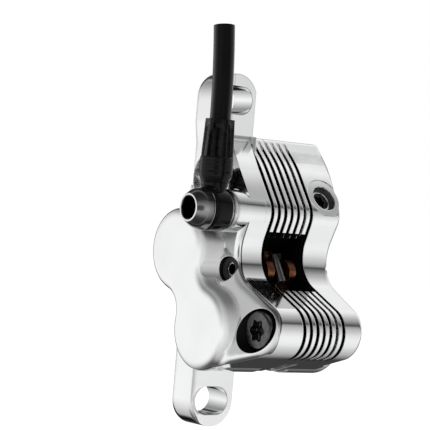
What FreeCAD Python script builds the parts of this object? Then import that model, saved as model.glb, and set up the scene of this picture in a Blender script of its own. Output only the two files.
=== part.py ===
"""Two-half, four-piston hydraulic disc brake caliper with post-mount ears.

Millimetres. +Z runs up the line of the two mounting posts, +X is the rotor axis
pointing at the wheel, and +Y points at the posts. The origin is midway between
the two mounting slots, on the face that rests on the posts.
The caliper leans on its mount: "along" is measured along the pad, upwards, and
"out" is measured away from the wheel axle, both from the middle of the pistons.
"""
import FreeCAD, Part
import math
import os

Vector = FreeCAD.Vector

# Mount
post_spacing = 74.0
ear_width = 12.8
ear_thickness = 7.4
slot_width = 7.0
slot_length = 10.0
root_depth = 9.0
root_height = 28.4
neck_left = 5.6
neck_start = 6.0
neck_slope = 5.0
edge_round = 0.5

# Where the caliper lies in the mount's frame
rotor_plane = 10.5
lean_deg = 32.1
middle_y = -7.76
middle_z = -9.7

# Pistons and lobes
piston_spacing = 21.6
piston_radius = 8.0
piston_length = 7.5
piston_wall = 2.2
piston_gap = 0.05
running_gap = 0.05
bore_depth = 8.2
lobe_radius = 10.2
lobe_neck_radius = 5.6
lobe_round = 1.9
lobe_step = 0.3
outboard_lobe_face = 21.5
inboard_lobe_face = 16.8
seal_depth = 0.95
seal_width = 1.9
seal_setback = 2.6
seal_gap = 0.04

# Body outline, as circles joined by tangent lines
bulge_radius = 6.5
bulge_beyond = 7.2
bulge_out = 13.6
waist_radius = 8.8
waist_before = 13.9
waist_out = 12.2
shoulder_radius = 5.2
crown_radius = 30.0
crown_along = 20.0
crown_out = 21.0
top_round = 2.2
top_beyond = 11.9
top_drop = 4.4
back_round = 2.0
back_beyond = 13.2
back_drop = 6.9
tangent_ease = 0.05
fit_tolerance = 1e-3

# Flanks: reach from the rotor plane, tilt, the ramp under the hose boss, and the rolled front edge
outboard_side = 14.0
lower_flank_side = 16.4
lower_flank_slope = 0.36
lower_flank_flare = 0.15
ramp_along = 6.0
ramp_slope = 1.1
inboard_side = 12.9
inboard_flare = 0.11
side_roll = 1.5
roll_end_out = 4.0

# Cooling grooves and window in the bridge
groove_count = 7
groove_pitch = 2.04
groove_width = 0.95
groove_depth = 1.5
groove_floor_out = 11.5
window_half_width = 5.6
window_half_length = 7.2

# Rotor slot and pads
rotor_thickness = 1.8
rotor_edge_out = 7.0
rotor_radius = 80.0
rotor_clearance = 1.5
slot_half_width = 1.9
pad_free_gap = 0.25
lining_thickness = 1.25
plate_thickness = 2.0
pad_half_length = 14.4
pad_half_height = 7.2
pad_corner = 4.2
pocket_gap = 0.2
lining_border = 1.0

# Pad axle and spring
axle_along = 1.0
axle_out = 8.9
axle_radius = 1.6
axle_gap = 0.06
axle_head_radius = 2.3
axle_head_length = 3.2
axle_head_sink = 2.0
axle_recess_radius = 3.05
axle_seal_section = 0.48
axle_hex = 2.5
axle_hex_depth = 2.4
axle_stub = 0.8
tab_margin = 1.3
tab_hole_gap = 0.09
spring_thickness = 0.5
spring_bend = 1.1
spring_length = 7.4
spring_leg = 2.9
spring_rise = 0.35
clip_thickness = 0.6
clip_rim = 0.9
axle_groove_depth = 0.4
clip_setback = 1.2

# Body bolts
bolt_radius = 3.0
bolt_gap = 0.06
bolt_head_radius = 4.6
bolt_head_height = 3.4
bolt_recess_radius = 5.25
bolt_sink = 15.9
bolt_blind = 1.8
lower_bolt_beyond = 7.4
lower_bolt_out = 14.1
upper_bolt_along = 24.4
upper_bolt_out = 12.4
star_radius = 2.75
star_lobe = 0.62
star_valley = 1.0
socket_depth = 2.2
star_lobes = 6

# Banjo, ferrule and hose
banjo_before = 7.0
banjo_drop = 4.8
boss_radius = 4.7
banjo_seat = 17.4
washer_thickness = 0.5
washer_rim = 1.35
eye_radius = 5.4
eye_thickness = 5.2
banjo_bolt_radius = 3.2
banjo_bolt_gap = 0.5
banjo_bolt_grip = 8.0
banjo_head_flange = 4.75
banjo_head_face = 3.35
banjo_head_height = 4.3
banjo_flange_edge = 0.7
banjo_hex = 5.0
neck_radius = 3.25
neck_top = 6.4
neck_band = 0.8
neck_clearance = 0.15
shank_radius = 1.2
shank_length = 9.0
shank_bore = 0.6
ferrule_radius = 4.0
ferrule_smooth = 5.9
ferrule_crimp = 9.2
crimp_radius = 3.5
crimp_flat = 3.25
ferrule_taper = 1.4
hose_radius = 2.55
hose_wall = 0.85
hose_seat = 7.5
hose_rise = 22.5
hose_bend = 170.0
hose_gap = 0.04

# Bleed screw in its boss, on the wheel side
bleed_along = 15.8
bleed_side = 12.0
bleed_boss_radius = 4.7
bleed_face_out = 20.9
bleed_spot_radius = 5.2
bleed_recess_radius = 3.35
bleed_recess_depth = 1.3
bleed_head_radius = 2.75
bleed_head_height = 2.2
bleed_screw_radius = 2.2
bleed_screw_length = 9.0
bleed_star_radius = 1.7
bleed_seal_section = 0.45

# Fluid passages
port_radius = 1.2
crossover_along = 29.6
crossover_out = 13.9
crossover_radius = 2.2
crossover_section = 0.6
crossover_depth = 5.0

# Values worked out from the sizes above
lean = math.radians(lean_deg)
along_dir = Vector(0, math.sin(lean), math.cos(lean))
out_dir = Vector(0, -math.cos(lean), math.sin(lean))
wheel_dir = Vector(1, 0, 0)
lining_face = rotor_thickness / 2 + pad_free_gap
plate_face = lining_face + lining_thickness
plate_back = plate_face + plate_thickness
pocket_half = plate_back + pocket_gap
bore_radius = piston_radius + running_gap
axle_centre_out = rotor_edge_out - rotor_radius
slot_top_radius = rotor_radius + rotor_clearance
half_spacing = piston_spacing / 2
upper_bolt = (upper_bolt_along, upper_bolt_out)
bulge = (-half_spacing - bulge_beyond, bulge_out)
lower_bolt = (-half_spacing - lower_bolt_beyond, lower_bolt_out)
pad_axle = (axle_along, axle_out)
banjo = (crown_along - banjo_before, crown_out - banjo_drop)


def place(side, along, out):
    """Point at a distance from the rotor plane (wheel side positive) and in the lean frame."""
    middle = Vector(rotor_plane + side, middle_y, middle_z)
    return middle + along_dir * along + out_dir * out


def caliper_plane(side):
    """Map from (along, out) to a plane parallel to the rotor."""
    return lambda a, b: place(side, a, b)


def belt(rounds):
    """Closed outline run like a belt round circles: a negative radius bends it inwards.

    Each circle is (a, b, radius). Returns lines and arcs as lists of flat points.
    """
    count = len(rounds)
    angles = []
    for i, (a, b, r) in enumerate(rounds):
        a2, b2, r2 = rounds[(i + 1) % count]
        reach = math.hypot(a2 - a, b2 - b)
        angles.append(math.atan2(b2 - b, a2 - a) - math.asin((r2 - r) / reach))
    pieces = []
    for i, (a, b, r) in enumerate(rounds):
        before, after = angles[i - 1], angles[i]
        turn = (after - before) % (2 * math.pi)
        if r < 0:
            turn -= 2 * math.pi
        arc = []
        for angle in (before, before + turn / 2, after):
            arc.append((a + r * math.sin(angle), b - r * math.cos(angle)))
        pieces.append(arc)
        a2, b2, r2 = rounds[(i + 1) % count]
        arrive = (a2 + r2 * math.sin(after), b2 - r2 * math.cos(after))
        pieces.append([arc[2], arrive])
    return pieces


def wire(pieces, to_space):
    """Wire of a belt's lines and arcs, mapped to space."""
    edges = []
    for piece in pieces:
        points = [to_space(a, b) for a, b in piece]
        if len(points) == 3:
            edges.append(Part.Arc(*points).toShape())
        else:
            edges.append(Part.LineSegment(*points).toShape())
    return Part.Wire(edges)


def slab(pieces, side_from, side_to):
    """Belt outline drawn across the rotor axis and pulled from one side to the other."""
    face = Part.Face(wire(pieces, caliper_plane(side_from)))
    return face.extrude(wheel_dir * (side_to - side_from))


def rod(radius, side_from, side_to, centre):
    """Cylinder along the rotor axis at an (along, out) centre."""
    low, high = min(side_from, side_to), max(side_from, side_to)
    return Part.makeCylinder(radius, high - low, place(low, *centre), wheel_dir)


def radial_rod(radius, out_from, out_to, side, along):
    """Cylinder that points away from the wheel axle."""
    base = place(side, along, out_from)
    return Part.makeCylinder(radius, out_to - out_from, base, out_dir)


def ring(outer, inner, side_from, side_to, centre):
    """Washer-like ring along the rotor axis."""
    return rod(outer, side_from, side_to, centre).cut(rod(inner, side_from, side_to, centre))


def rounded_box(half_a, half_b, corner, centre=(0.0, 0.0)):
    """Outline of a rectangle with round corners."""
    a, b = half_a - corner, half_b - corner
    corners = [(a, -b), (a, b), (-a, b), (-a, -b)]
    return belt([(centre[0] + x, centre[1] + y, corner) for x, y in corners])


def star_outline(radius, lobe, valley):
    """Drive socket with round lobes: the circles of the lobes and, between them, of the valleys."""
    step = 2 * math.pi / star_lobes
    lobe_reach = radius - lobe
    middle = lobe_reach * math.cos(step / 2)
    half_gap = lobe_reach * math.sin(step / 2)
    valley_reach = middle + math.sqrt((lobe + valley) ** 2 - half_gap ** 2) + tangent_ease
    circles = []
    for k in range(star_lobes):
        tip = k * step
        dip = tip + step / 2
        circles.append((lobe_reach * math.cos(tip), lobe_reach * math.sin(tip), lobe))
        circles.append((valley_reach * math.cos(dip), valley_reach * math.sin(dip), -valley))
    return belt(circles)


def hexagon(across_flats, to_space):
    """Hexagon face."""
    corner = across_flats / math.sqrt(3)
    angles = [k * math.pi / 3 for k in range(7)]
    points = [to_space(corner * math.cos(angle), corner * math.sin(angle)) for angle in angles]
    return Part.Face(Part.makePolygon(points))


def lobe_neck():
    """How far from the line of the pistons the circle lies that necks the lobes in."""
    return math.sqrt((lobe_radius + lobe_neck_radius) ** 2 - half_spacing ** 2) + tangent_ease


def body_outline(inset=0.0):
    """Side view of both halves: crown, banjo shoulder, waist, bolt bulge and piston lobes.

    The inset pulls in the front of the bridge, from the crown to the bulge.
    """
    return belt([
        (crown_along + top_beyond, crown_out - top_drop, top_round),
        (crown_along, crown_out - crown_radius, crown_radius - inset),
        (*banjo, shoulder_radius - inset),
        (banjo[0] - waist_before, waist_out + waist_radius, -waist_radius - inset),
        (*bulge, bulge_radius - inset),
        (-half_spacing, 0.0, lobe_radius - lobe_step),
        (0.0, -lobe_neck(), -lobe_neck_radius - lobe_step),
        (half_spacing, 0.0, lobe_radius - lobe_step),
        (crown_along + back_beyond, crown_out - back_drop, back_round),
    ])


def lobe_outline():
    """Two piston lobes with a necked middle."""
    return belt([
        (half_spacing, 0.0, lobe_radius),
        (0.0, lobe_neck(), -lobe_neck_radius),
        (-half_spacing, 0.0, lobe_radius),
        (0.0, -lobe_neck(), -lobe_neck_radius),
    ])


def round_edges_at(shape, side, radius):
    """Round the edges that lie on one plane across the rotor axis."""
    x = rotor_plane + side
    edges = []
    for edge in shape.Edges:
        box = edge.BoundBox
        if max(abs(box.XMin - x), abs(box.XMax - x)) < fit_tolerance:
            edges.append(edge)
    return shape.makeFillet(radius, edges)


def lower_flank(along, out):
    """Reach of the outboard half's lower flank, which leans from the bridge up to the lobes."""
    drop = lower_flank_slope * (out - bulge[1]) + lower_flank_flare * (along - bulge[0])
    return -lower_flank_side + drop


def flank_ramp(along, out):
    """Slope by which the lower flank drops away under the hose boss."""
    return lower_flank(along, out) + ramp_slope * (along - ramp_along)


def lobe_cap(along, out):
    """Level at which the lower flank ends below the lobes' face."""
    return lobe_round - outboard_lobe_face


def inboard_flank(along, out):
    """Reach of the inboard half's flank, which widens upwards."""
    return inboard_side + inboard_flare * (along - bulge[0])


def rotor_side_of(flank):
    """Solid on the rotor's side of a flat surface, given as a reach for each along and out."""
    far = 2 * crown_radius
    corners = [(-far, -far), (far, -far), (far, far), (-far, far), (-far, -far)]
    face = Part.Face(Part.makePolygon([place(flank(along, out), along, out) for along, out in corners]))
    return face.extrude(wheel_dir * math.copysign(far, -flank(0.0, 0.0)))


def rolled_core(side):
    """Body outline pulled across the rotor plane to a flat flank, whose front edge is rolled over."""
    core = slab(body_outline(), -math.copysign(half_spacing, side), side)
    span = 2 * crown_radius
    zone = slab(rounded_box(span, span, back_round, (0.0, roll_end_out + span)), -span, span)
    front = core.common(zone)
    middle = place(side, 0.0, 0.0)
    edges = []
    for edge in front.Edges:
        arms = [edge.valueAt(end) - middle for end in edge.ParameterRange]
        on_flank = max(abs(arm.dot(wheel_dir)) for arm in arms) < fit_tolerance
        if on_flank and max(arm.dot(out_dir) for arm in arms) > roll_end_out + fit_tolerance:
            edges.append(edge)
    return front.makeFillet(side_roll, edges).fuse(core.cut(zone)).removeSplitter()


def tilted(shape, flare, slope):
    """Shape sheared along the rotor axis about the bulge: walls along that axis keep their place."""
    tilt = along_dir * flare + out_dir * slope
    matrix = FreeCAD.Matrix()
    matrix.A12 = tilt.y
    matrix.A13 = tilt.z
    matrix.A14 = -tilt.dot(place(0.0, *bulge))
    return shape.transformGeometry(matrix)


def piston_lobes(direction, lobe_face):
    """Lobes of one half, rounded at their outer face."""
    lobes = slab(lobe_outline(), direction * pocket_half, direction * lobe_face)
    return round_edges_at(lobes, direction * lobe_face, lobe_round)


def rotor_space():
    """Everything cut from the middle of the caliper: rotor slot, pad pocket and bridge window."""
    centre = (0.0, axle_centre_out)
    rotor = rod(slot_top_radius, -slot_half_width, slot_half_width, centre)
    half_length = pad_half_length + pocket_gap
    top = pad_half_height + pocket_gap
    depth = 2 * lobe_radius
    pocket = slab(rounded_box(half_length, depth, pad_corner, (0.0, top - depth)), -pocket_half, pocket_half)
    window_top = crown_out + shoulder_radius
    window = slab(rounded_box(window_half_length, window_top / 2, groove_width, (0.0, window_top / 2)),
                  -window_half_width, window_half_width)
    return rotor.fuse([pocket, window])


def grooves():
    """Cooling grooves that follow the front of the bridge."""
    span = crown_radius + piston_spacing
    region = rounded_box(span, span, back_round, (0.0, groove_floor_out + span))
    sheet = Part.Face(wire(region, caliper_plane(0.0)))
    sheet = sheet.cut(Part.Face(wire(body_outline(groove_depth), caliper_plane(0.0))))
    first = -groove_pitch * (groove_count - 1) / 2 - groove_width / 2
    cuts = []
    for k in range(groove_count):
        cut = sheet.copy()
        cut.translate(wheel_dir * (first + k * groove_pitch))
        cuts.append(cut.extrude(wheel_dir * groove_width))
    return cuts


def piston_cuts(direction):
    """Bores and seal grooves of one half."""
    cuts = []
    for along in (-half_spacing, half_spacing):
        centre = (along, 0.0)
        cuts.append(rod(bore_radius, 0.0, direction * (pocket_half + bore_depth), centre))
        start = direction * (pocket_half + seal_setback)
        cuts.append(rod(bore_radius + seal_depth, start, start + direction * seal_width, centre))
    return cuts


def ear(direction, left):
    """Mounting ear, +1 for the top one. Below its round end the outer edge steps in to the left reach."""
    radius = ear_width / 2
    centre_z = direction * post_spacing / 2
    step_z = centre_z - direction * neck_start
    waist_z = step_z - direction * neck_slope
    inner_z = direction * ear_width
    profile = [(-radius, centre_z), (-radius, step_z), (-left, waist_z), (-left, inner_z),
               (radius, inner_z), (radius, centre_z), (-radius, centre_z)]
    blade = Part.Face(Part.makePolygon([Vector(x, -ear_thickness, z) for x, z in profile]))
    blade = blade.extrude(Vector(0, ear_thickness, 0))
    tip = Part.makeCylinder(radius, ear_thickness, Vector(0, -ear_thickness, centre_z), Vector(0, 1, 0))
    return blade.fuse(tip).removeSplitter()


def ear_slot(direction):
    """Slot for a mounting bolt."""
    centre_z = direction * post_spacing / 2
    straight = (slot_length - slot_width) / 2
    depth = 3 * ear_thickness
    corner = Vector(-straight, -2 * ear_thickness, centre_z - slot_width / 2)
    cut = Part.makeBox(2 * straight, depth, slot_width, corner)
    for end in (-straight, straight):
        base = Vector(end, -2 * ear_thickness, centre_z)
        cut = cut.fuse(Part.makeCylinder(slot_width / 2, depth, base, Vector(0, 1, 0)))
    return cut


def banjo_frame(side):
    """Map from flat (forward-back, up) points to a plane across the banjo's axis."""
    centre = place(side, *banjo)
    return lambda a, b: centre + Vector(0, a, b)


def bolt_cuts():
    """Clearance holes, head recesses and blind tapped ends for the two body bolts."""
    far = inboard_side - bolt_blind
    cuts = []
    for centre in (upper_bolt, lower_bolt):
        cuts.append(rod(bolt_radius + bolt_gap, -bolt_sink, far, centre))
        seat = -bolt_sink + bolt_head_height
        cuts.append(rod(bolt_recess_radius, seat, -outboard_lobe_face - lobe_radius, centre))
    return cuts


def axle_sides():
    """Outer face of the axle's head, its recess floor and the axle's far end."""
    face = axle_head_sink + lower_flank(*pad_axle)
    return face, face + axle_head_length, inboard_flank(*pad_axle) + axle_stub


def beside_rotor(direction):
    """Box on one side of the parting plane, larger than the whole caliper."""
    size = 2 * post_spacing
    low = Vector(rotor_plane - (size if direction < 0 else 0.0), -size / 2, -size / 2)
    return Part.makeBox(size, size, size, low)


def outboard_half():
    """Half with the ears, the hose boss and the bolt heads."""
    shape = rolled_core(-outboard_side)
    lower = tilted(rolled_core(-lower_flank_side), lower_flank_flare, lower_flank_slope)
    lower = lower.common(rotor_side_of(lobe_cap)).common(rotor_side_of(flank_ramp))
    shape = shape.fuse([lower, piston_lobes(-1, outboard_lobe_face)])
    root = Part.makeBox(neck_left + ear_width / 2, root_depth, root_height - ear_width,
                        Vector(-neck_left, -root_depth, ear_width))
    boss = rod(boss_radius, 0.0, -banjo_seat, banjo)
    shape = shape.fuse([ear(1, neck_left), ear(-1, ear_width / 2), root, boss])
    head_face, head_seat, far = axle_sides()
    cuts = [rotor_space(), ear_slot(1), ear_slot(-1)] + grooves() + piston_cuts(-1) + bolt_cuts()
    cuts.append(rod(axle_radius + axle_gap, head_seat, far, pad_axle))
    cuts.append(rod(axle_head_radius + axle_gap, head_face, head_seat, pad_axle))
    cuts.append(rod(axle_recess_radius, head_face, -outboard_lobe_face, pad_axle))
    cuts.append(rod(banjo_bolt_radius, -banjo_seat, -banjo_seat + banjo_bolt_grip, banjo))
    cuts.append(rod(port_radius, -banjo_seat, -slot_half_width, banjo))
    cuts.append(rod(port_radius, -pocket_half - bore_depth, 0.0, (crossover_along, crossover_out)))
    return shape.cut(cuts).common(beside_rotor(-1)).removeSplitter()


def inboard_half():
    """Half on the wheel side, with the bleed screw's boss."""
    shape = tilted(rolled_core(inboard_side), inboard_flare, 0.0)
    shape = shape.fuse(piston_lobes(1, inboard_lobe_face))
    shape = shape.fuse(radial_rod(bleed_boss_radius, axle_out, bleed_face_out, bleed_side, bleed_along))
    head_face, head_seat, far = axle_sides()
    cuts = [rotor_space()] + grooves() + piston_cuts(1) + bolt_cuts()
    cuts.append(rod(axle_radius + axle_gap, 0.0, far, pad_axle))
    cuts.append(rod(axle_radius + 2 * clip_rim, clip_seat(), far, pad_axle))
    bleed = (bleed_side, bleed_along)
    floor = bleed_face_out - bleed_recess_depth
    cuts.append(radial_rod(bleed_spot_radius, bleed_face_out, 2 * bleed_face_out, *bleed))
    cuts.append(radial_rod(bleed_recess_radius, floor, bleed_face_out, *bleed))
    cuts.append(radial_rod(bleed_screw_radius + axle_gap, floor - bleed_screw_length, bleed_face_out, *bleed))
    centre = (crossover_along, crossover_out)
    cuts.append(rod(crossover_radius, 0.0, crossover_section, centre))
    cuts.append(rod(port_radius, 0.0, crossover_depth, centre))
    return shape.cut(cuts).common(beside_rotor(1)).removeSplitter()


def body_bolt(centre):
    """Button-head bolt with a six-lobed socket."""
    seat = -bolt_sink + bolt_head_height
    tip = inboard_side - bolt_blind
    head = round_edges_at(rod(bolt_head_radius, -bolt_sink, seat, centre), -bolt_sink, edge_round)
    shank = rod(bolt_radius, seat, tip - bolt_blind, centre)
    star = star_outline(star_radius, star_lobe, star_valley)
    origin = place(-bolt_sink, *centre)
    socket = Part.Face(wire(star, lambda a, b: origin + Vector(0, a, b))).extrude(wheel_dir * socket_depth)
    return head.fuse(shank).removeSplitter().cut(socket)


def crossover_seal():
    """Ring that seals the fluid passage between the halves."""
    return ring(crossover_radius - seal_gap, port_radius + seal_gap, 0.0, crossover_section,
                (crossover_along, crossover_out))


def banjo_stack():
    """Faces along the banjo's axis, outwards from the boss."""
    inner_washer = -banjo_seat - washer_thickness
    eye = inner_washer - eye_thickness
    outer_washer = eye - washer_thickness
    return inner_washer, eye, outer_washer


def banjo_washer(side_from):
    """Crush washer."""
    inner = banjo_bolt_radius + seal_gap
    return ring(inner + washer_rim, inner, side_from, side_from - washer_thickness, banjo)


def banjo_middle():
    """Middle of the eye, where the neck rises."""
    inner_washer, eye, outer_washer = banjo_stack()
    return place((inner_washer + eye) / 2, *banjo)


def upright(radius, low, high, top_radius=None):
    """Cylinder or cone that rises from the middle of the banjo's eye."""
    base = banjo_middle() + Vector(0, 0, low)
    if top_radius is None:
        return Part.makeCylinder(radius, high - low, base, Vector(0, 0, 1))
    return Part.makeCone(radius, top_radius, high - low, base, Vector(0, 0, 1))


def banjo_fitting():
    """Eye with an oil chamber inside, a neck, and the shank that the hose is pushed on."""
    inner_washer, eye, outer_washer = banjo_stack()
    body = rod(eye_radius, inner_washer, eye, banjo)
    body = round_edges_at(round_edges_at(body, inner_washer, edge_round), eye, edge_round)
    shank_top = neck_top + ferrule_smooth + shank_length
    slim = eye_thickness / 2 - running_gap
    flare_low = banjo_head_flange + neck_clearance
    flare_high = neck_top - neck_band
    body = body.fuse([upright(slim, 0.0, flare_low), upright(slim, flare_low, flare_high, neck_radius),
                      upright(neck_radius, flare_high, neck_top), upright(shank_radius, neck_top, shank_top)])
    chamber = rod(banjo_bolt_radius + banjo_bolt_gap, inner_washer, eye, banjo)
    body = body.cut([chamber, upright(shank_bore, 0.0, shank_top)])
    return body.removeSplitter()


def banjo_bolt():
    """Hollow bolt with a cone head and a hex socket, cross-drilled inside the eye."""
    inner_washer, eye, outer_washer = banjo_stack()
    edge = outer_washer - banjo_flange_edge
    top = outer_washer - banjo_head_height
    flange = rod(banjo_head_flange, outer_washer, edge, banjo)
    cone = Part.makeCone(banjo_head_face, banjo_head_flange, edge - top, place(top, *banjo), wheel_dir)
    tip = -banjo_seat + banjo_bolt_grip - washer_thickness
    shank = rod(banjo_bolt_radius - running_gap, outer_washer, tip, banjo)
    socket = hexagon(banjo_hex, banjo_frame(top)).extrude(wheel_dir * (banjo_head_height - banjo_flange_edge))
    drill = rod(port_radius, eye, 0.0, banjo)
    cross = upright(port_radius, -eye_radius, eye_radius)
    return flange.fuse([cone, shank]).removeSplitter().cut([socket, drill, cross])


def ferrule_levels():
    """Heights of the ferrule above the eye: foot, end of the smooth part, top."""
    smooth_top = neck_top + ferrule_smooth
    return neck_top, smooth_top, smooth_top + ferrule_crimp


def hose_ferrule():
    """Sleeve crimped to a hexagon over the hose."""
    foot, smooth_top, top = ferrule_levels()
    taper = upright(neck_radius, foot, foot + ferrule_taper, ferrule_radius)
    smooth = upright(ferrule_radius, foot + ferrule_taper, smooth_top)
    crimp = upright(crimp_radius, smooth_top, top)
    centre = banjo_middle() + Vector(0, 0, smooth_top)
    prism = hexagon(2 * crimp_flat, lambda a, b: centre + Vector(a, b, 0))
    crimp = crimp.common(prism.extrude(Vector(0, 0, ferrule_crimp)))
    body = taper.fuse([smooth, crimp]).removeSplitter()
    return body.cut([upright(hose_radius + hose_gap, top - hose_seat, top),
                     upright(shank_radius + hose_gap, foot, top)])


def hose_path(start):
    """Straight inside the ferrule, then a long bend back towards the frame of the bike."""
    foot, smooth_top, top = ferrule_levels()
    low = banjo_middle() + Vector(0, 0, start)
    knee = banjo_middle() + Vector(0, 0, top)
    swing = hose_rise / hose_bend

    def on_bend(angle):
        return knee + Vector(0, hose_bend * (1 - math.cos(angle)), hose_bend * math.sin(angle))

    bend = Part.Arc(knee, on_bend(swing / 2), on_bend(swing)).toShape()
    return Part.Wire([Part.LineSegment(low, knee).toShape(), bend])


def swept_ring(path, start, outer, inner):
    """Tube swept along the hose's path."""
    base = banjo_middle() + Vector(0, 0, start)
    tubes = []
    for radius in (outer, inner):
        circle = Part.Wire([Part.makeCircle(radius, base, Vector(0, 0, 1))])
        tubes.append(path.makePipeShell([circle], True, False))
    return tubes[0].cut(tubes[1])


def brake_hose():
    """Outer jacket of the hose."""
    start = ferrule_levels()[2] - hose_seat
    return swept_ring(hose_path(start), start, hose_radius, hose_radius - hose_wall + hose_gap)


def hose_liner():
    """Pressure liner inside the jacket, pushed over the shank."""
    start = ferrule_levels()[2] - hose_seat
    return swept_ring(hose_path(start), start, hose_radius - hose_wall, shank_radius + hose_gap)


def clip_seat():
    """Floor of the recess that holds the axle's clip."""
    return inboard_flank(*pad_axle) - clip_setback


def pad_axle_pin():
    """Pin that carries the pads, screwed in from the outer side by a hex socket."""
    head_face, head_seat, far = axle_sides()
    origin = place(head_face, *pad_axle)
    head = rod(axle_head_radius, head_face, head_seat, pad_axle)
    shank = rod(axle_radius, head_seat, far, pad_axle)
    socket = hexagon(axle_hex, lambda a, b: origin + Vector(0, a, b))
    socket = socket.extrude(wheel_dir * axle_hex_depth)
    start = clip_seat()
    neck = ring(2 * axle_radius, axle_radius - axle_groove_depth, start, start + clip_thickness, pad_axle)
    return head.fuse(shank).removeSplitter().cut([socket, neck])


def pad_axle_clip():
    """Open clip in the groove at the axle's far end."""
    start = clip_seat()
    inner = axle_radius - axle_groove_depth + seal_gap
    clip = ring(axle_radius + clip_rim, inner, start + seal_gap, start + clip_thickness - seal_gap, pad_axle)
    mouth = slab(rounded_box(2 * inner * math.sin(lean), 2 * axle_radius, seal_gap,
                             (axle_along, axle_out + 2 * axle_radius)), start, start + clip_thickness)
    return clip.cut(mouth)


def pad_axle_seal():
    """Ring round the axle's head, at the bottom of its recess."""
    head_face = axle_sides()[0]
    return ring(axle_recess_radius - seal_gap, axle_head_radius - edge_round, head_face,
                head_face - axle_seal_section, pad_axle)


def pad_plate(direction):
    """Backing plate with the tab that hangs on the pad axle."""
    plate = slab(rounded_box(pad_half_length, pad_half_height, pad_corner), direction * plate_face,
                 direction * plate_back)
    tab_radius = axle_radius + tab_margin
    reach = axle_out / 2
    tab = slab(rounded_box(tab_radius, reach + tab_radius / 2, tab_radius - edge_round,
                           (axle_along, reach + tab_radius / 2)),
               direction * plate_face, direction * plate_back)
    hole = rod(axle_radius + tab_hole_gap, 0.0, direction * pocket_half, pad_axle)
    return plate.fuse(tab).removeSplitter().cut(hole)


def pad_lining(direction):
    """Friction lining, set in from the plate's edge."""
    outline = rounded_box(pad_half_length - lining_border, pad_half_height - lining_border,
                          pad_corner - lining_border)
    return slab(outline, direction * lining_face, direction * plate_face)


def piston(direction, along):
    """Cup piston, open towards the pad."""
    face = direction * (plate_back + piston_gap)
    centre = (along, 0.0)
    cup = rod(piston_radius, face, face + direction * piston_length, centre)
    hollow = rod(piston_radius - piston_wall, face, face + direction * (piston_length - piston_wall), centre)
    return cup.cut(hollow)


def piston_seal(direction, along):
    """Square seal in its groove."""
    start = direction * (pocket_half + seal_setback)
    return ring(bore_radius + seal_depth - seal_gap, piston_radius + seal_gap, start + direction * seal_gap,
                start + direction * (seal_width - seal_gap), (along, 0.0))


def pad_spring():
    """Strip bent to a saddle over the pad axle, with legs beside the pads' tabs."""
    outer, inner = spring_bend, spring_bend - spring_thickness
    top = axle_out + axle_radius + spring_rise - inner
    foot = top - spring_leg
    low = axle_along - spring_length / 2

    def point(side, out):
        return place(side, low, out)

    edges = [
        Part.LineSegment(point(-outer, foot), point(-outer, top)).toShape(),
        Part.Arc(point(-outer, top), point(0.0, top + outer), point(outer, top)).toShape(),
        Part.LineSegment(point(outer, top), point(outer, foot)).toShape(),
        Part.LineSegment(point(outer, foot), point(inner, foot)).toShape(),
        Part.LineSegment(point(inner, foot), point(inner, top)).toShape(),
        Part.Arc(point(inner, top), point(0.0, top + inner), point(-inner, top)).toShape(),
        Part.LineSegment(point(-inner, top), point(-inner, foot)).toShape(),
        Part.LineSegment(point(-inner, foot), point(-outer, foot)).toShape(),
    ]
    strip = Part.Face(Part.Wire(edges)).extrude(along_dir * spring_length)
    return strip.cut(rod(axle_radius + tab_hole_gap, -2 * outer, 2 * outer, pad_axle))


def bleed_screw():
    """Screw with a six-lobed socket, pointing away from the wheel axle."""
    floor = bleed_face_out - bleed_recess_depth
    head = radial_rod(bleed_head_radius, floor, floor + bleed_head_height, bleed_side, bleed_along)
    shank = radial_rod(bleed_screw_radius, floor - bleed_screw_length + bleed_recess_depth, floor,
                       bleed_side, bleed_along)
    scale = bleed_star_radius / star_radius
    star = star_outline(bleed_star_radius, star_lobe * scale, star_valley * scale)
    origin = place(bleed_side, bleed_along, floor + bleed_head_height)
    socket = Part.Face(wire(star, lambda a, b: origin + wheel_dir * a + along_dir * b))
    return head.fuse(shank).removeSplitter().cut(socket.extrude(out_dir * -bleed_recess_depth))


def bleed_seal():
    """Ring under the rim of the bleed screw's recess."""
    floor = bleed_face_out - bleed_recess_depth
    heights = (floor, floor + bleed_seal_section)
    outer = radial_rod(bleed_recess_radius - seal_gap, *heights, bleed_side, bleed_along)
    return outer.cut(radial_rod(bleed_head_radius + seal_gap, *heights, bleed_side, bleed_along))


def parts():
    """Every piece by name."""
    inner_washer, eye, outer_washer = banjo_stack()
    pieces = {
        "outboard_half": outboard_half(),
        "inboard_half": inboard_half(),
        "upper_body_bolt": body_bolt(upper_bolt),
        "lower_body_bolt": body_bolt(lower_bolt),
        "crossover_seal": crossover_seal(),
        "banjo_fitting": banjo_fitting(),
        "banjo_bolt": banjo_bolt(),
        "banjo_washer_inner": banjo_washer(-banjo_seat),
        "banjo_washer_outer": banjo_washer(eye),
        "hose_ferrule": hose_ferrule(),
        "brake_hose": brake_hose(),
        "hose_liner": hose_liner(),
        "pad_axle": pad_axle_pin(),
        "pad_axle_clip": pad_axle_clip(),
        "pad_axle_seal": pad_axle_seal(),
        "pad_spring": pad_spring(),
        "bleed_screw": bleed_screw(),
        "bleed_seal": bleed_seal(),
    }
    for side_name, direction in (("outboard", -1), ("inboard", 1)):
        pieces[side_name + "_pad_plate"] = pad_plate(direction)
        pieces[side_name + "_pad_lining"] = pad_lining(direction)
        for level, along in (("upper", half_spacing), ("lower", -half_spacing)):
            pieces[f"{side_name}_{level}_piston"] = piston(direction, along)
            pieces[f"{side_name}_{level}_piston_seal"] = piston_seal(direction, along)
    return pieces


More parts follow.
